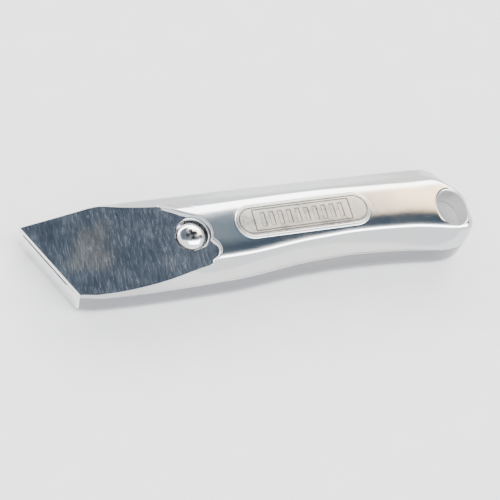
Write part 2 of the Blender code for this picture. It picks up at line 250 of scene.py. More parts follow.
def frontSection(x):
    # y, z points from the joint at the belly over the face to the joint at the spine
    low = lookUp(knife["belly"], x)
    high = lookUp(knife["spine"], x)
    room = min(1.0, (high - low) / knife["fullWidth"])
    h = knife["frontHeight"] * tailFactor(x, knife["tailLeft"]["front"])
    b = lookUp(knife["flankBelly"], x) * room
    s = lookUp(knife["flankSpine"], x) * room
    z = knife["jointZ"] + knife["gap"] / 2
    mid = (low + b + high - s) / 2
    return [(low, z), (low + 0.05 * b, z + 0.10 * h), (low + 0.40 * b, z + 0.50 * h),
            (low + 0.74 * b, z + 0.815 * h), (low + 0.86 * b, z + 0.895 * h),
            (low + 1.06 * b, z + 0.948 * h), (low + 1.70 * b, z + 0.992 * h),
            (mid, z + 1.003 * h),
            (high - 1.60 * s, z + 0.992 * h), (high - 1.15 * s, z + 0.955 * h),
            (high - 0.86 * s, z + 0.865 * h), (high - 0.20 * s, z + 0.50 * h),
            (high - 0.06 * s, z + 0.42 * h), (high, z + 0.32 * h), (high, z)]


def backSection(x):
    # y, z points from the joint at the spine round the back to the joint at the belly
    low = lookUp(knife["belly"], x)
    high = lookUp(knife["spine"], x)
    out = lookUp(knife["bulge"], x)
    room = min(1.0, (high - low) / knife["fullWidth"])
    top = knife["jointZ"] - knife["gap"] / 2
    base = top * (1.0 - tailFactor(x, knife["tailLeft"]["back"]))
    h = top - base
    return [(high, top), (high, base + 0.42 * h), (high - 0.5 * room, base + 0.24 * h),
            (high - 1.6 * room, base + 0.10 * h), (high - 3.2 * room, base + 0.02 * h),
            (high - 4.6 * room, base),
            (low + 3.4 * room, base), (low + 1.9 * room - out, base + 0.03 * h),
            (low + 0.7 * room - out, base + 0.12 * h), (low - 0.9 * out, base + 0.26 * h),
            (low - out, base + 0.45 * h), (low - 0.55 * out, base + 0.75 * h), (low, top)]


class Outline:
    # smooth curve through the points of one cross section; q counts the points
    def __init__(self, points):
        self.points = points
        self.run = [0.0]
        for a, b in zip(points, points[1:]):
            self.run.append(self.run[-1] + max(1e-4, math.hypot(b[0] - a[0], b[1] - a[1])))
        self.ys = list(zip(self.run, (p[0] for p in points)))
        self.zs = list(zip(self.run, (p[1] for p in points)))

    def at(self, q):
        k = min(int(q), len(self.points) - 2)
        s = self.run[k] + (q - k) * (self.run[k + 1] - self.run[k])
        return lookUp(self.ys, s), lookUp(self.zs, s)


outlines = {}


def outlineAt(kind, x):
    key = (kind, round(x, 3))
    if key not in outlines:
        outlines[key] = Outline(frontSection(x) if kind == "front" else backSection(x))
    return outlines[key]


def frontLine(y):
    # x of the skewed nose at y
    (x0, y0), (x1, y1) = knife["frontTop"], knife["frontLow"]
    return x0 + (x1 - x0) * (y - y0) / (y1 - y0)


def groundAt(x, y):
    z, gx, gy = knife["ground"]
    return z + gx * x + gy * y


def crossing(curve, x, q0, q1):
    # where the section passes through the ground flat, between two of its points
    def above(q):
        y, z = curve.at(q)
        return z - groundAt(x, y)
    a, b = above(q0), above(q1)
    if a * b > 0:
        return None
    for _ in range(30):
        q = (q0 + q1) / 2
        if above(q) * a > 0:
            q0 = q
        else:
            q1 = q
    return (q0 + q1) / 2


# belly side, then spine side: x where the ground flat ends, q along the rest of the handle,
# and the q between which the flat's edge lies
creaseSides = ({"end": -20.6, "rest": 4.0, "between": (0.0, 6.0)},
               {"end": -33.5, "rest": 9.0, "between": (14.0, 8.0)})
creaseTable = {"first": -86.0, "pitch": 0.25, "count": 320, "fade": 16.0}
creases = []


def solveCrease(x):
    # q of the two long edges of the front face, which the ground flat follows at the nose
    out = []
    for side in creaseSides:
        start = min(x, side["end"])
        q = crossing(outlineAt("front", start), start, *side["between"])
        q = side["rest"] if q is None else q
        if x > side["end"]:
            q += (side["rest"] - q) * ease((x - side["end"]) / creaseTable["fade"])
        out.append(q)
    return out


def creaseAt(x):
    # the same, read between the entries of a table that is filled once
    first, pitch = creaseTable["first"], creaseTable["pitch"]
    if not creases:
        creases.extend(solveCrease(first + pitch * k) for k in range(creaseTable["count"]))
    place = max(0.0, min(len(creases) - 1.001, (x - first) / pitch))
    k = int(place)
    t = place - k
    return [a + (b - a) * t for a, b in zip(creases[k], creases[k + 1])]


badge = {"x": 15.5, "y": 1.35, "length": 50.0, "height": 12.6, "rise": 0.42, "turn": 1.4,
         "rim": 1.45, "line": 0.40, "panelX": (-18.3, 17.2), "panelY": 4.0,
         "ribs": 10, "slotWidth": 1.5, "grooveZ": 18.36, "ribLong": 2.6, "margin": 1.8,
         "skirt": (0.3, 0.9), "shallower": 0.02, "cutHigh": 1.5}


def ease(t):
    t = max(0.0, min(1.0, t))
    return t * t * (3 - 2 * t)


def badgePlace(x, y):
    # place along and across the badge, and distance in from its edge
    a = math.radians(badge["turn"])
    dx, dy = x - badge["x"], y - badge["y"]
    u = dx * math.cos(a) + dy * math.sin(a)
    v = -dx * math.sin(a) + dy * math.cos(a)
    r = badge["height"] / 2
    half = badge["length"] / 2 - r
    return u, v, r - math.hypot(max(0.0, abs(u) - half), v)


def badgeHeight(x, y):
    # the raised pad; its lines and slots are cut afterwards
    out, wide = badge["skirt"]
    return badge["rise"] * ease((badgePlace(x, y)[2] + out) / wide)


def gridOf(rows, columns, place):
    # a sheet of rows x columns points, moved into shape by place(row, column)
    bm = bmesh.new()
    bmesh.ops.create_grid(bm, x_segments=columns - 1, y_segments=rows - 1, size=1.0)
    bm.verts.ensure_lookup_table()
    for vert in bm.verts:
        column = round((vert.co.x + 1) / 2 * (columns - 1))
        row = round((vert.co.y + 1) / 2 * (rows - 1))
        vert.co = Vector(place(row, column)) * mm
    return bm


def closeShape(bm):
    # weld the edges that meet, cap the open ends and turn the faces outward
    bmesh.ops.remove_doubles(bm, verts=bm.verts, dist=2e-6)
    bmesh.ops.holes_fill(bm, edges=[e for e in bm.edges if e.is_boundary], sides=0)
    bmesh.ops.recalc_face_normals(bm, faces=bm.faces)
    return bm


def toObject(bm, name, sharp=40.0):
    mesh = bpy.data.meshes.new(name)
    bm.to_mesh(mesh)
    bm.free()
    obj = bpy.data.objects.new(name, mesh)
    bpy.context.scene.collection.objects.link(obj)
    mesh.shade_smooth()
    mesh.set_sharp_from_angle(angle=math.radians(sharp))
    return obj


def cutWith(obj, cutters, operation="DIFFERENCE", joined=False):
    if joined:
        # cutters that do not touch each other go as one
        bm = bmesh.new()
        for cutter in cutters[1:]:
            bm.from_mesh(cutter.data)
        bm.from_mesh(cutters[0].data)
        bm.to_mesh(cutters[0].data)
        bm.free()
        cutters = cutters[:1]
    for cutter in cutters:
        mod = obj.modifiers.new("cut", "BOOLEAN")
        mod.operation = operation
        mod.solver = "EXACT"
        mod.object = cutter


def settle(obj, cutters, sharp=40.0):
    # the modifiers' result becomes the piece's own mesh, and the cutters go
    depsgraph = bpy.context.evaluated_depsgraph_get()
    mesh = bpy.data.meshes.new_from_object(obj.evaluated_get(depsgraph))
    obj.modifiers.clear()
    obj.data = mesh
    mesh.shade_smooth()
    mesh.set_sharp_from_angle(angle=math.radians(sharp))
    for cutter in cutters:
        bpy.data.objects.remove(cutter, do_unlink=True)


def raiseFaces(bm, faces, height):
    # flat faces become a solid of this height
    top = bmesh.ops.extrude_face_region(bm, geom=faces)
    verts = [v for v in top["geom"] if isinstance(v, bmesh.types.BMVert)]
    bmesh.ops.translate(bm, verts=verts, vec=(0, 0, height * mm))


def prism(outline, z0, z1):
    bm = bmesh.new()
    face = bm.faces.new([bm.verts.new((x * mm, y * mm, z0 * mm)) for x, y in outline])
    raiseFaces(bm, [face], z1 - z0)
    bmesh.ops.recalc_face_normals(bm, faces=bm.faces)
    return toObject(bm, "cutter")


def roundedBox(x0, x1, y0, y1, r, steps=8):
    out = []
    for cx, cy, start in ((x1 - r, y1 - r, 0), (x0 + r, y1 - r, 90),
                          (x0 + r, y0 + r, 180), (x1 - r, y0 + r, 270)):
        for k in range(steps + 1):
            a = math.radians(start + 90 * k / steps)
            out.append((cx + r * math.cos(a), cy + r * math.sin(a)))
    return out


def turned(profile, centre, name="cutter", steps=96, squash=(1.0, 1.0), close=True):
    # solid of revolution about +Z from r, z pairs in millimetres
    bm = bmesh.new()
    verts = [bm.verts.new((r * mm, 0, z * mm)) for r, z in profile]
    edges = [bm.edges.new(pair) for pair in zip(verts, verts[1:])]
    if not close:
        edges.append(bm.edges.new((verts[-1], verts[0])))
    bmesh.ops.spin(bm, geom=verts + edges, cent=(0, 0, 0), axis=(0, 0, 1), angle=math.tau,
                   steps=steps, use_merge=True)
    bmesh.ops.remove_doubles(bm, verts=bm.verts, dist=1e-6)
    bmesh.ops.scale(bm, verts=bm.verts, vec=(squash[0], squash[1], 1))
    bmesh.ops.translate(bm, verts=bm.verts, vec=Vector((centre[0], centre[1], 0)) * mm)
    bmesh.ops.recalc_face_normals(bm, faces=bm.faces)
    return toObject(bm, name)


def onBadge(outline):
    # from the badge's own axes to the knife's
    a = math.radians(badge["turn"])
    return [(badge["x"] + u * math.cos(a) - v * math.sin(a),
             badge["y"] + u * math.sin(a) + v * math.cos(a)) for u, v in outline]


def ringCutter(halfLong, halfHigh, r, wide, middle=0.0):
    # a closed groove of the badge, wide on either side of its line
    bm = bmesh.new()
    z = badge["grooveZ"] * mm
    loops = []
    for off in (wide, -wide):
        outline = roundedBox(middle - halfLong - off, middle + halfLong + off, -halfHigh - off,
                             halfHigh + off, r + off, 14)
        loops.append([bm.verts.new((x * mm, y * mm, z)) for x, y in onBadge(outline)])
    count = len(loops[0])
    ring = []
    for k in range(count):
        j = (k + 1) % count
        ring.append(bm.faces.new((loops[0][k], loops[0][j], loops[1][j], loops[1][k])))
    raiseFaces(bm, ring, badge["cutHigh"])
    bmesh.ops.recalc_face_normals(bm, faces=bm.faces)
    return toObject(bm, "cutGroove")


def badgeCutters():
    # rim line, frame line and the slots that leave the ribs standing
    x0, x1 = badge["panelX"]
    inset = badge["rim"]
    r = badge["height"] / 2 - inset
    wide = badge["line"] / 2
    made = [ringCutter(badge["length"] / 2 - inset, r, r, wide),
            ringCutter((x1 - x0) / 2, badge["panelY"], 0.5, wide, (x0 + x1) / 2)]
    pitch = (x1 - x0 - 2 * badge["margin"]) / badge["ribs"]
    for k in range(badge["ribs"]):
        u = x0 + badge["margin"] + (k + 0.5) * pitch
        slot = roundedBox(u - badge["slotWidth"] / 2, u + badge["slotWidth"] / 2,
                          -badge["ribLong"], badge["ribLong"], 0.3, 4)
        made.append(prism(onBadge(slot), badge["grooveZ"] + badge["shallower"],
                          badge["grooveZ"] + badge["cutHigh"]))
    return made


def flaredHole(r, z0, z1, lip, top, steps=6):
    # profile of a hole whose mouth at z1 opens out by lip, then runs on to top
    out = [(0.0, z0), (r, z0), (r, z1 - lip)]
    for k in range(1, steps + 1):
        a = math.radians(90 * k / steps)
        out.append((r + lip * (1 - math.cos(a)), z1 - lip + lip * math.sin(a)))
    out += [(r + lip + 0.4, z1 + 0.02), (r + lip + 0.5, top), (0.0, top)]
    return out


def stepLine(y):
    # x of the step's edge and how far it slants there
    x = lookUp(knife["step"], y)
    slope = (lookUp(knife["step"], y + 0.1) - lookUp(knife["step"], y - 0.1)) / 0.2
    return x, min(knife["mostSlant"], math.sqrt(1 + slope * slope))


def spread(a, b, count):
    return [a + (b - a) * (k / (count - 1)) for k in range(count)]


# rows and columns of the front shell's sheet, and the x where its stretches end
sheetPlan = {"flank": 14, "face": 116, "nose": (0.0, 0.02, 0.07, 0.13, knife["edgeRound"]),
             "between": 52, "foot": 9, "edge": 6, "handle": 270, "straight": 40,
             "handleEnd": 43.5, "straightEnd": 74.0, "lastQ": 14.0}


class FrontSheet:
    # rows run across the knife from belly to spine, columns run from nose to tail
    def __init__(self):
        plan = sheetPlan
        self.flank = plan["flank"]
        self.face = plan["face"]
        self.columns = []
        for d in plan["nose"]:
            self.columns.append(("nose", d, 0.0))
        for t in spread(0.0, 1.0, plan["between"])[1:-1]:
            self.columns.append(("between", knife["edgeRound"], t))
        for w in spread(0.0, 1.0, plan["foot"]):
            self.columns.append(("foot", w, 0.0))
        for w in spread(0.0, 1.0, plan["edge"]):
            self.columns.append(("edge", w, 0.0))
        for t in spread(0.0, 1.0, plan["handle"])[1:]:
            self.columns.append(("handle", t, 0.0))
        for x in spread(plan["handleEnd"], plan["straightEnd"], plan["straight"])[1:] + tailEnd:
            self.columns.append(("tail", x, 0.0))
        self.rows = self.flank * 2 + self.face + 3
        self.kept = {}

    def xAt(self, column, y):
        # x of a column where it passes y
        kind, a, b = self.columns[column]
        start = frontLine(y)
        stepX, lean = stepLine(y)
        foot = knife["stepFoot"]
        edge = knife["stepEdge"]
        if kind == "nose":
            return start + a * knife["noseLean"]
        if kind == "between":
            first = start + a * knife["noseLean"]
            return first + (stepX - foot * lean - first) * b
        if kind == "foot":
            return stepX - foot * lean * (1 - math.sin(a * math.pi / 2))
        if kind == "edge":
            return stepX + edge * lean * (0.12 + 0.88 * (1 - math.cos(a * math.pi / 2)))
        if kind == "handle":
            first = stepX + edge * lean
            return first + (sheetPlan["handleEnd"] - first) * a
        return a

    def point(self, row, column):
        # the columns slant with y, so x is tried and put right a few times
        key = (row, column)
        if key in self.kept:
            return self.kept[key]
        n = self.flank
        low = knife["jointRound"]
        last = sheetPlan["lastQ"]
        x = self.xAt(column, 0.0)
        for _ in range(1 if self.columns[column][0] == "tail" else 4):
            curve = outlineAt("front", x)
            qb, qs = creaseAt(x)
            if row <= 0:
                yy, z = curve.at(0.0)
                yy += low
            elif row <= n:
                yy, z = curve.at(qb * (row - 1) / (n - 1))
                if row == 1:
                    z += low
            elif row >= n + self.face:
                t = min(1.0, (row - n - self.face) / (n - 1))
                yy, z = curve.at(qs + (last - qs) * t)
                if row == self.rows - 3:
                    z += low
                elif row >= self.rows - 2:
                    yy, z = curve.at(last)
                    yy -= low
            else:
                y0, y1 = curve.at(qb)[0], curve.at(qs)[0]
                yy = y0 + (y1 - y0) * (row - n) / self.face
            x = self.xAt(column, yy)
        if n < row < n + self.face:
            z = self.heightOn(curve, qb, qs, yy)
        kind, a, b = self.columns[column]
        g = groundAt(x, yy)
        if n <= row <= n + self.face:
            if kind in ("nose", "between"):
                z = min(z, g)
            elif kind == "foot":
                rise = max(0.0, z - g)
                r = min(knife["stepFoot"], rise * 0.8)
                z = g + r * (1 - math.cos(a * math.pi / 2)) if rise > 0.01 else min(z, g)
            elif kind == "edge":
                rise = max(0.0, z - g)
                foot = min(knife["stepFoot"], rise * 0.8)
                z = g + foot + (rise - foot) * math.sin(a * math.pi / 2) if rise > 0.01 else z
            z += badgeHeight(x, yy)
        if kind == "nose" and row > 1 and row < self.rows - 3:
            r = knife["edgeRound"]
            room = z - knife["jointZ"] - knife["gap"] / 2 - low
            z -= (r - math.sqrt(max(0.0, r * r - (r - a) ** 2))) * ease(room / 0.8)
        self.kept[key] = (x, yy, z)
        return self.kept[key]

    def heightOn(self, curve, a, b, y):
        # height of the section where it crosses y, between its two long edges
        points = curve.points
        k = int(a)
        while k < int(b) and points[k + 1][0] < y:
            k += 1
        a, b = max(a, k), min(b, k + 1.0)
        ya, yb = curve.at(a)[0] - y, curve.at(b)[0] - y
        for _ in range(6):
            q = a if abs(yb - ya) < 1e-7 else a - ya * (b - a) / (yb - ya)
            yq, z = curve.at(q)
            if abs(yq - y) < 1e-6:
                break
            if (yq - y) * ya > 0:
                a, ya = q, yq - y
            else:
                b, yb = q, yq - y
        return z

    def build(self):
        # one more row closes the underside back to the first
        def place(row, column):
            if row == self.rows:
                return self.point(0, column)
            return self.point(row, column)
        return closeShape(gridOf(self.rows + 1, len(self.columns), place))


print("front shell")
sheet = FrontSheet()
frontShell = toObject(sheet.build(), "front_shell_fine", sharpAngle["front"])
hole = {"x": 71.8, "y": -2.15, "r": (5.6, 7.2), "lip": 0.5}
pocket = {"x": (-11.5, 42.5), "y": (-7.05, 12.75), "z": 5.2, "frontZ": 14.2}
pegs = [(-14.5, 9.55), (55.5, 7.55)]
screwX, screwY = knife["screw"]


def tailHole(z0, z1, lip, top):
    r = hole["r"]
    return turned(flaredHole(r[0], z0, z1, lip, top), (hole["x"], hole["y"]), "cutTailHole", 96,
                  (1.0, r[1] / r[0]))


cutters = [
    turned([(0.0, 5.0), (2.8, 5.0), (2.8, 13.0)] + flaredHole(5.75, 13.0, 16.45, 0.45, 24.0)[1:],
           knife["screw"], "cutCounterbore"),
    tailHole(5.0, 17.95, hole["lip"], 26.0),
    prism(roundedBox(pocket["x"][0] + 1.0, pocket["x"][1] - 1.0, pocket["y"][0] + 1.6,
                     pocket["y"][1] - 2.4, 3.0), 5.0, pocket["frontZ"]),
]
for x, y in pegs:
    cutters.append(turned([(0.0, 5.0), (2.1, 5.0), (2.1, 13.3), (1.8, 13.6), (0.0, 13.6)], (x, y),
                          "cutSocket", 40))
cutters += badgeCutters()
cutWith(frontShell, cutters, joined=True)
settle(frontShell, cutters, sharpAngle["front"])
print("front shell done", len(frontShell.data.polygons))


backPlan = {"nose": (0.0, 0.08, 0.18, 0.3), "noseRound": 0.3, "middle": (-2.5, 5.0),
            "body": 120, "bodyStart": 0.345, "bodyEnd": 74.0, "lastQ": 12, "perQ": 6}


def buildBack():
    plan = backPlan
    columns = [("nose", d) for d in plan["nose"]]
    columns += [("body", t) for t in spread(0.0, 1.0, plan["body"])[1:]]
    columns += [("tail", x) for x in tailEnd]
    qs = [k + j / plan["perQ"] for k in range(plan["lastQ"]) for j in range(plan["perQ"])]
    qs.append(float(plan["lastQ"]))
    low = knife["jointRound"]

    def place(row, column):
        kind, a = columns[column]
        q = qs[row] if row < len(qs) else 0.0
        x = 0.0
        for _ in range(5):
            yy, z = outlineAt("back", x).at(q)
            start = frontLine(yy)
            if kind == "nose":
                x = start + a * knife["noseLean"]
            elif kind == "body":
                first = plan["bodyStart"]
                x = start + first + (plan["bodyEnd"] - start - first) * a
            else:
                x = a
        if row in (0, len(qs)):
            yy -= low
        elif row == len(qs) - 1:
            yy += low
        elif row == 1 or row == len(qs) - 2:
            z = max(z, knife["jointZ"] - knife["gap"] / 2 - low)
        if kind == "nose":
            r = plan["noseRound"]
            inset = r - math.sqrt(max(0.0, r * r - (r - a) ** 2))
            middle = plan["middle"]
            away = math.hypot(yy - middle[0], z - middle[1])
            yy += (middle[0] - yy) / away * inset
            if z < knife["jointZ"] - r:
                z += (middle[1] - z) / away * inset
            x = frontLine(yy) + a * knife["noseLean"]
        return x, yy, z
    return closeShape(gridOf(len(qs) + 1, len(columns), place))


print("back shell")
backShell = toObject(buildBack(), "back_shell_fine", sharpAngle["back"])
bed = {"top": 8.75, "low": -10.25, "rear": -30.7, "z": 9.0}
cutters = [
    prism(roundedBox(-100.0, bed["rear"] + 0.5, bed["low"] - 0.35, bed["top"] + 0.35, 0.6),
          bed["z"], 12.0),
    prism(roundedBox(*pocket["x"], *pocket["y"], 3.0), pocket["z"], 12.0),
    turned([(0.0, 2.6), (2.85, 2.6), (2.85, 3.35), (3.75, 3.35), (3.75, 12.0), (0.0, 12.0)],
           knife["screw"], "cutSeat", 64),
    turned([(0.0, -2.0), (6.6, -2.0), (6.5, 0.0), (6.15, 0.15), (5.85, 0.35), (5.6, 0.8),
            (5.6, 12.0), (0.0, 12.0)], (hole["x"], hole["y"]), "cutHole", 96,
           (1.0, hole["r"][1] / hole["r"][0])),
]
cutWith(backShell, cutters, joined=True)
pegSolids = [turned([(0.0, 7.0), (2.0, 7.0), (1.78, 12.6), (1.4, 13.0), (0.0, 13.0)], p, "peg", 40)
             for p in pegs]
cutWith(backShell, pegSolids, "UNION")
settle(backShell, cutters + pegSolids, sharpAngle["back"])
print("back shell done", len(backShell.data.polygons))


screw = {"headR": 5.05, "headZ": 14.25, "headH": 2.6, "endZ": 3.6,
         "pitch": 0.8, "rootR": 2.02, "threadDeep": 0.40, "rim": 0.62, "dome": 0.72,
         "recess": (2.7, 0.80), "recessCone": (0.32, 1.0, 2.4), "recessDrop": 0.35, "turn": 8.0}


def screwPiece():
    z = screw["headZ"]
    r = screw["headR"]
    rim = screw["rim"]
    profile = [(0.0, screw["endZ"]), (1.75, screw["endZ"]), (2.05, screw["endZ"] + 0.35)]
    # the threaded shank is moved into a helix after the spin
    level = screw["endZ"] + 0.5
    while level < z - 0.9:
        profile.append((2.2, level))
        level += 0.1
    profile += [(2.3, z - 0.8), (2.3, z - 0.15), (2.45, z), (r - 0.3, z), (r - 0.08, z + 0.07),
                (r, z + 0.22), (r, z + rim)]
    for k in range(1, 15):
        a = math.radians(90 * k / 14)
        profile.append((r * math.cos(a) ** screw["dome"] if k < 14 else 0.0,
                        z + rim + (screw["headH"] - rim) * math.sin(a)))
    obj = turned(profile, (0.0, 0.0), "clamp_screw_fine", 96)
    top = screw["endZ"] + 0.5
    for vert in obj.data.vertices:
        x, y, h = vert.co / mm
        away = math.hypot(x, y)
        if away > 1.9 and top <= h < z - 0.85 and away < 2.35:
            phase = (h / screw["pitch"] - math.atan2(y, x) / math.tau) % 1.0
            want = screw["rootR"] + screw["threadDeep"] * (1 - abs(2 * phase - 1))
            vert.co.x *= want / away
            vert.co.y *= want / away
    tip, wide = screw["recess"]
    low, high, deep = screw["recessCone"]
    cutters = []
    for k in range(2):
        bm = bmesh.new()
        bmesh.ops.create_cone(bm, cap_ends=True, segments=4, radius1=low * mm * 1.414,
                              radius2=high * mm * 1.414, depth=deep * mm)
        bmesh.ops.rotate(bm, verts=bm.verts, matrix=Matrix.Rotation(math.pi / 4, 3, "Z"))
        bmesh.ops.scale(bm, verts=bm.verts, vec=(tip, wide, 1))
        bmesh.ops.bevel(bm, geom=bm.edges[:], offset=0.1 * mm, segments=2, affect="EDGES",
                        profile=0.5, material=-1)
        bmesh.ops.rotate(bm, verts=bm.verts,
                         matrix=Matrix.Rotation(math.radians(screw["turn"] + 90 * k), 3, "Z"))
        bmesh.ops.translate(bm, verts=bm.verts,
                            vec=(0, 0, (z + screw["headH"] - screw["recessDrop"]) * mm))
        cutters.append(toObject(bm, "cutRecess"))
    cutWith(obj, cutters)
    settle(obj, cutters, 32.0)
    obj.data.transform(Matrix.Translation(Vector((screwX, screwY, 0)) * mm))
    return obj


def washerPiece():
    # spring washer: a ring with one slanted split
    profile = [(2.68, 13.22), (2.75, 13.16), (5.22, 13.16), (5.3, 13.24), (5.3, 13.96),
               (5.22, 14.04), (2.75, 14.04), (2.68, 13.98)]
    obj = turned(profile, knife["screw"], "lock_washer_fine", 96, close=False)
    bm = bmesh.new()
    bmesh.ops.create_cube(bm, size=1.0)
    bmesh.ops.scale(bm, verts=bm.verts, vec=(4 * mm, 0.35 * mm, 3 * mm))
    bmesh.ops.rotate(bm, verts=bm.verts, matrix=Matrix.Rotation(math.radians(28), 3, "X"))
    bmesh.ops.translate(bm, verts=bm.verts, vec=Vector((screwX - 4.2, screwY, 13.6)) * mm)
    cutter = toObject(bm, "cutSplit")
    cutWith(obj, [cutter])
    settle(obj, [cutter], 35.0)
    return obj


def insertPiece():
    # press-in insert with a knurled outside and a plain bore
    profile = [(2.56, 3.45), (2.75, 3.42), (3.45, 3.42), (3.62, 3.6), (3.62, 5.6), (3.4, 5.8),
               (3.4, 6.4), (3.62, 6.6), (3.62, 9.3), (3.5, 9.56), (2.75, 9.56), (2.56, 9.4)]
    obj = turned(profile, (0.0, 0.0), "threaded_insert_fine", 96, close=False)
    for vert in obj.data.vertices:
        x, y, h = vert.co / mm
        away = math.hypot(x, y)
        if away > 3.55:
            tooth = 0.06 if round(math.atan2(y, x) / math.tau * 96) % 2 else 0.0
            vert.co.x *= (away + tooth) / away
            vert.co.y *= (away + tooth) / away
    obj.data.transform(Matrix.Translation(Vector((screwX, screwY, 0)) * mm))
    return obj


blades = {"thick": 0.65, "z": 9.08, "spareZ": 5.3, "spareStep": 0.95, "spareShift": (68.8, 3.6),
          "front": 1.2 * 1.1515, "notches": (-41.5, -51.5), "notchHalf": 1.5,
          "noseOut": (-0.868, -0.496),
          # slope, height and shift of the two grinds
          "grinds": ((0.26, 0.0, 0.0), (0.6, -0.03, 0.06)), "grindHigh": 0.06}


def bladePiece(name, z0, shift):
    low, high, rear = bed["low"], bed["top"], bed["rear"]
    front = blades["front"]
    half = blades["notchHalf"]
    outline = [(frontLine(low) + front, low), (rear, low), (rear, high)]
    for x in blades["notches"]:
        outline.append((x + half, high))
        for k in range(7):
            a = math.radians(-180 * k / 6)
            outline.append((x + math.cos(a), high - 1.0 + math.sin(a)))
        outline.append((x - half, high))
    outline.append((frontLine(high) + front, high))
    bm = bmesh.new()
    face = bm.faces.new([bm.verts.new(((x + shift[0]) * mm, (y + shift[1]) * mm, z0 * mm))
                         for x, y in outline])
    raiseFaces(bm, [face], blades["thick"])
    edge = Vector((frontLine(0.0) + front + shift[0], shift[1], z0 + blades["grindHigh"])) * mm
    outX, outY = blades["noseOut"]
    for lean, lift, along in blades["grinds"]:
        slope = Vector((outX * lean, outY * lean, 1.0)).normalized()
        place = edge + Vector((0, 0, lift)) * mm + Vector((along, 0, 0)) * mm
        cut = bmesh.ops.bisect_plane(bm, geom=bm.verts[:] + bm.edges[:] + bm.faces[:], dist=1e-7,
                                     plane_co=place, plane_no=slope, clear_outer=True)
        rim = [e for e in cut["geom_cut"] if isinstance(e, bmesh.types.BMEdge)]
        bmesh.ops.contextual_create(bm, geom=rim)
    bmesh.ops.recalc_face_normals(bm, faces=bm.faces)
    return toObject(bm, name, 12.0)


print("small pieces")
pieces = {
    "clamp_screw": screwPiece(),
    "lock_washer": washerPiece(),
    "threaded_insert": insertPiece(),
    "blade": bladePiece("blade_fine", blades["z"], (0.0, 0.0)),
}
for k in range(3):
    pieces[f"spare_blade_{k + 1}"] = bladePiece(
        f"spare_blade_{k + 1}_fine", blades["spareZ"] + k * blades["spareStep"],
        blades["spareShift"])
pieces["front_shell"] = frontShell
pieces["back_shell"] = backShell


print("finishes")
alloy = {"colour": (0.57, 0.58, 0.59), "warm": (0.60, 0.585, 0.56), "roughness": (0.09, 0.15),
         "wave": 0.12, "scratch": 0.12}
# a darkened copy of the alloy for the back shell: painted shade, standing in for the shadowed
# floor its belly flank reflects
alloyPaintedShade = {"colour": (0.25, 0.26, 0.275), "warm": (0.27, 0.27, 0.275), "roughness": (0.20, 0.30),
             "wave": 0.12, "scratch": 0.12}
# the badge's colour, with a darker colour for its grooves and slot edges
matte = {"colour": (0.47, 0.47, 0.465), "warm": (0.51, 0.49, 0.46), "roughness": (0.24, 0.34),
         "grooveDark": (0.07, 0.07, 0.075), "scratch": 0.30}
# a near-white copy of the alloy for the nose's front faces and the tail hole's walls: painted
# reflection of the bright floor
alloyPaintedBright = {"colour": (0.92, 0.92, 0.92), "warm": (0.93, 0.92, 0.91), "roughness": (0.34, 0.42),
        "wave": 0.06, "scratch": 0.30}
flat = {"colour": (0.38, 0.415, 0.46), "dark": (0.25, 0.28, 0.33), "warm": (0.46, 0.42, 0.37),
        "light": (0.66, 0.70, 0.74), "roughness": (0.15, 0.24)}
# places of the extra finishes in the lists of the two shells and the screw; the nose faces and
# hole walls carry a painted reflection, the screw's recess painted shade
finishAt = {"ground": 1, "badge": 2, "noseFront": 3, "noseBack": 1, "recess": 1}


def polishedAlloy(name, settings):
    # die-cast metal, polished: soft waviness, fine hairlines and small pits
    mat, s = newMaterial(name)
    cloud = s.noise(60.0, 4.0, 0.55)
    fine = s.noise(900.0, 3.0, 0.6)
    hair = s.noise(1.0, 3.0, 0.6, s.coords((260.0, 4200.0, 2600.0), (0.0, 0.0, 0.12)))
    hairCross = s.noise(1.0, 2.0, 0.6, s.coords((3200.0, 300.0, 2400.0), (0.0, 0.0, -0.5)))
    pit = s.step(s.noise(1400.0, 2.0, 0.5), 0.70, 0.80)
    tint = s.mix(s.step(cloud, 0.40, 0.66), settings["colour"], settings["warm"])
    colour = s.mix(pit * 0.25, tint, (0.45, 0.45, 0.46))
    low, high = settings["roughness"]
    rough = low + (high - low) * (s.step(cloud, 0.3, 0.7) * 0.5 + s.step(hair, 0.45, 0.7) * 0.5)
    wave = s.bump(s.noise(95.0, 2.0, 0.4), settings["wave"], 0.0004)
    hairs = s.bump(hair + hairCross * 0.6 + fine * 0.5 - pit * 0.8, settings["scratch"], 0.00003,
                   wave)
    s.finish({"Base Color": colour, "Metallic": 1.0, "Roughness": rough, "Normal": hairs})
    return mat


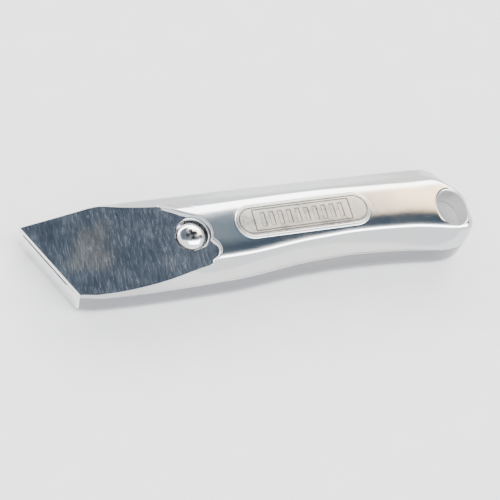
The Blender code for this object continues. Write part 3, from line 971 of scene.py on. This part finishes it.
def badgeMetal(name, settings):
    # dull cast metal, darker in the rim line, the frame line and along the slots' edges
    mat, s = newMaterial(name)
    axis = s.axes(s.node("ShaderNodeTexCoord", out="Object"))
    turn = math.radians(badge["turn"])
    dx, dy = axis[0] / mm - badge["x"], axis[1] / mm - badge["y"]
    u = dx * math.cos(turn) + dy * math.sin(turn)
    v = dy * math.cos(turn) - dx * math.sin(turn)
    r = badge["height"] / 2
    past = (u.abs() - (badge["length"] / 2 - r)).over(0.0)
    inward = r - (past * past + v * v).root()
    x0, x1 = badge["panelX"]
    inside = (u - x0).under(x1 - u).under(badge["panelY"] - v.abs())
    wide = badge["line"] / 2
    rim = 1 - s.step((inward - badge["rim"]).abs(), wide * 0.8, wide * 1.4)
    frame = 1 - s.step(inside.abs(), wide * 0.8, wide * 1.4)
    count = badge["ribs"]
    pitch = (x1 - x0 - 2 * badge["margin"]) / count
    place = (u - x0 - badge["margin"]) / pitch
    off = (place.wrap() - 0.5).abs() * pitch
    ends = (badge["ribLong"] - v.abs()).under(place * pitch).under((count - place) * pitch)
    slot = (badge["slotWidth"] / 2 - off).under(ends)
    side = 1 - s.step(slot.abs(), 0.1, 0.26)
    groove = rim.over(frame)
    low, high = settings["roughness"]
    cloud = s.noise(300.0, 4.0, 0.6)
    fine = s.noise(1500.0, 3.0, 0.6)
    tint = s.mix(s.step(cloud, 0.40, 0.66), settings["colour"], settings["warm"])
    colour = s.mix(groove * 0.75 + side * 0.6, tint, settings["grooveDark"])
    relief = s.bump(cloud + fine * 0.4, settings["scratch"], 0.00003)
    s.finish({"Base Color": colour, "Metallic": 1.0, "Normal": relief,
              "Roughness": low + (high - low) * s.step(cloud, 0.3, 0.7)})
    return mat


def groundMetal(name, settings):
    # the nose flat: linished across the knife, smeared and nicked
    mat, s = newMaterial(name)
    lines = s.noise(1.0, 3.0, 0.7, s.coords((2600.0, 330.0, 330.0), (0.0, 0.0, 0.10)))
    wide = s.noise(1.0, 3.0, 0.6, s.coords((700.0, 90.0, 90.0), (0.0, 0.0, 0.06)))
    blotch = s.noise(90.0, 4.0, 0.6)
    nick = s.noise(1.0, 1.0, 0.5, s.coords((2100.0, 480.0, 480.0), (0.0, 0.0, 0.7)))
    nicks = s.step(nick, 0.76, 0.81)
    tone = s.mix(s.step(wide * 0.5 + blotch * 0.5, 0.36, 0.62), settings["dark"],
                 settings["colour"])
    smear = s.mix(s.step(s.noise(45.0, 2.0, 0.5), 0.54, 0.68) * 0.55, tone, settings["warm"])
    scored = s.mix(s.step(lines, 0.52, 0.70) * 0.38, smear, settings["light"])
    colour = s.mix(nicks * 0.7, scored, (0.78, 0.82, 0.88))
    low, high = settings["roughness"]
    rough = low + (high - low) * s.step(lines * 0.7 + blotch * 0.3, 0.35, 0.65)
    relief = s.bump(lines + wide * 0.4 - nicks * 0.3, 0.32, 0.00005)
    s.finish({"Base Color": colour, "Metallic": 1.0, "Roughness": rough, "Normal": relief})
    return mat


def plainMetal(name, colour, roughness, stretch=(900.0, 900.0, 900.0), bump=0.1):
    mat, s = newMaterial(name)
    grain = s.noise(1.0, 3.0, 0.6, s.coords(stretch))
    cloud = s.noise(160.0, 3.0, 0.5)
    dark = tuple(c * 0.72 for c in colour)
    tone = s.mix(s.step(cloud, 0.35, 0.7) * 0.5, colour, dark)
    rough = roughness + 0.12 * s.step(grain, 0.4, 0.7)
    s.finish({"Base Color": tone, "Metallic": 1.0, "Roughness": rough,
              "Normal": s.bump(grain, bump, 0.00003)})
    return mat


def put(obj, *mats):
    obj.data.materials.clear()
    for mat in mats:
        obj.data.materials.append(mat)


castFront = polishedAlloy("castFront", alloy)
# the back shell takes the darkened copy of the alloy: painted shade
castBack = polishedAlloy("castBack", alloyPaintedShade)
noseGround = groundMetal("noseGround", flat)
badgeCast = badgeMetal("badgeCast", matte)
noseFace = polishedAlloy("noseFace", alloyPaintedBright)
put(frontShell, castFront, noseGround, badgeCast, noseFace)
put(backShell, castBack, noseFace)
for face in frontShell.data.polygons:
    x, y, z = face.center / mm
    away = math.hypot(x - screwX, y - screwY)
    level = abs(z - groundAt(x, y)) < 0.05 and face.normal.z > 0.98
    face.material_index = finishAt["ground"] if level and x < -14 and away > 5.6 else 0
    if badgePlace(x, y)[2] > 0.35 and z > 17.9:
        face.material_index = finishAt["badge"]
# the nose's front faces and the tail hole's walls take the near-white copy: painted reflection
for shell, index in ((frontShell, finishAt["noseFront"]), (backShell, finishAt["noseBack"])):
    for face in shell.data.polygons:
        x, y, z = face.center / mm
        wall = math.hypot((x - hole["x"]) / hole["r"][0], (y - hole["y"]) / hole["r"][1]) < 1.01
        if (x - frontLine(y) < 0.1 and face.normal.x < -0.5) or wall:
            face.material_index = index
# the screw's cross recess takes a dark, dull copy of the metal: painted shade in the recess
put(pieces["clamp_screw"],
    plainMetal("screwPlated", (0.80, 0.80, 0.81), 0.10, (1500, 1500, 1500), 0.08),
    plainMetal("recessPaintedShade", (0.16, 0.16, 0.17), 0.40))
for face in pieces["clamp_screw"].data.polygons:
    x, y, z = face.center / mm
    inHead = screw["headZ"] < z < screw["headZ"] + screw["headH"] - 0.22
    if inHead and math.hypot(x - screwX, y - screwY) < 2.5:
        face.material_index = finishAt["recess"]
put(pieces["lock_washer"], plainMetal("washerSteel", (0.60, 0.61, 0.63), 0.25))
put(pieces["threaded_insert"], plainMetal("insertBrass", (0.80, 0.62, 0.32), 0.25))
for name in ("blade", "spare_blade_1", "spare_blade_2", "spare_blade_3"):
    put(pieces[name], plainMetal(name + "Steel", (0.62, 0.64, 0.67), 0.20,
                                 (220.0, 3600.0, 900.0), 0.15))

bodyOf = {"front_shell": "front_body", "back_shell": "back_body", "clamp_screw": "screw_body",
          "lock_washer": "washer_body", "threaded_insert": "back_body", "blade": "blade_body"}
for name, piece in pieces.items():
    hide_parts(name)
    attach(piece, bodyOf.get(name, "spares_body"))


print("stage")
stage = {"size": 3.0, "z": -0.0002, "colour": (0.80, 0.80, 0.81), "speck": (0.78, 0.78, 0.79),
         "roughness": 0.85}
bm = bmesh.new()
bmesh.ops.create_grid(bm, x_segments=1, y_segments=1, size=stage["size"])
floor = toObject(bm, "floor")
floor.data.transform(Matrix.Translation((0, 0, stage["z"])))
mat, s = newMaterial("paleFloor")
speck = s.noise(60.0, 2.0, 0.5)
s.finish({"Base Color": s.mix(s.step(speck, 0.3, 0.7), stage["colour"], stage["speck"]),
          "Roughness": stage["roughness"]})
put(floor, mat)

sky = {"horizon": (2.2, 2.25, 2.3), "key": (12.5, 12.5, 12.2), "cream": (8.0, 6.2, 4.0),
       "white": (15.0, 15.0, 15.0), "navy": (0.09, 0.14, 0.20), "grey": (0.31, 0.42, 0.53),
       "slate": (0.17, 0.22, 0.28)}


def buildWorld():
    # soft light all round, a bright bank behind the spine and dark gaps overhead
    world = bpy.data.worlds.new("studio")
    world.use_nodes = True
    bpy.context.scene.world = world
    s = Shading(world)
    direction = s.node("ShaderNodeTexCoord", out="Generated")
    x, y, z = s.axes(direction)
    over = s.step(z, 0.45, 0.60)

    def band(value, a, b, c, d):
        return s.step(value, a, b) * (1 - s.step(value, c, d))

    key = s.step(z, 0.30, 0.42) * s.step(y, 0.50, 0.62)
    masks = (("cream", over * band(y, 0.26, 0.36, 0.55, 0.65) * s.step(x, 0.34, 0.46)),
             ("grey", over * band(y, 0.16, 0.30, 0.48, 0.58) * band(x, 0.10, 0.20, 0.34, 0.46)),
             ("slate", over * band(y, 0.02, 0.18, 0.74, 0.86) * band(x, -0.60, -0.45, 0.14, 0.24)),
             ("navy", over * band(y, 0.07, 0.18, 0.33, 0.42) * s.step(x, 0.05, 0.2)),
             ("white", s.step(z, 0.5, 0.7) * band(y, -0.38, -0.30, 0.0, 0.11)
              * band(x, -0.1, 0.1, 0.6, 0.7)))
    colour = s.mix(key, sky["horizon"], sky["key"])
    for shade, mask in masks:
        colour = s.mix(mask, colour, sky[shade])
    back = s.node("ShaderNodeBackground", None, {"Color": colour, "Strength": 1.0})
    s.node("ShaderNodeOutputWorld", None, {"Surface": back})


buildWorld()

# the camera stands toward the nose and the belly by these angles, then rolls about its own axis
view = {"place": (-0.11874, -0.16107, 0.33911), "noseward": 17.5, "bellyward": 24.0,
        "roll": -14.67, "lens": 80.0, "sensor": 36.0}


def viewMatrix():
    x = -math.sin(math.radians(view["noseward"]))
    y = -math.sin(math.radians(view["bellyward"]))
    back = Vector((x, y, math.sqrt(1 - x * x - y * y)))
    level = Vector((0, 1, 0)).cross(back).normalized()
    right = Matrix.Rotation(math.radians(view["roll"]), 3, back) @ level
    axes = Matrix((right, back.cross(right), back)).transposed()
    return Matrix.Translation(view["place"]) @ axes.to_4x4()


camera = bpy.data.cameras.new("camera")
camera.lens = view["lens"]
camera.sensor_width = view["sensor"]
camera.clip_start = 0.01
cameraObject = bpy.data.objects.new("camera", camera)
bpy.context.scene.collection.objects.link(cameraObject)
cameraObject.matrix_world = viewMatrix()
bpy.context.scene.camera = cameraObject

bpy.context.view_layer.update()
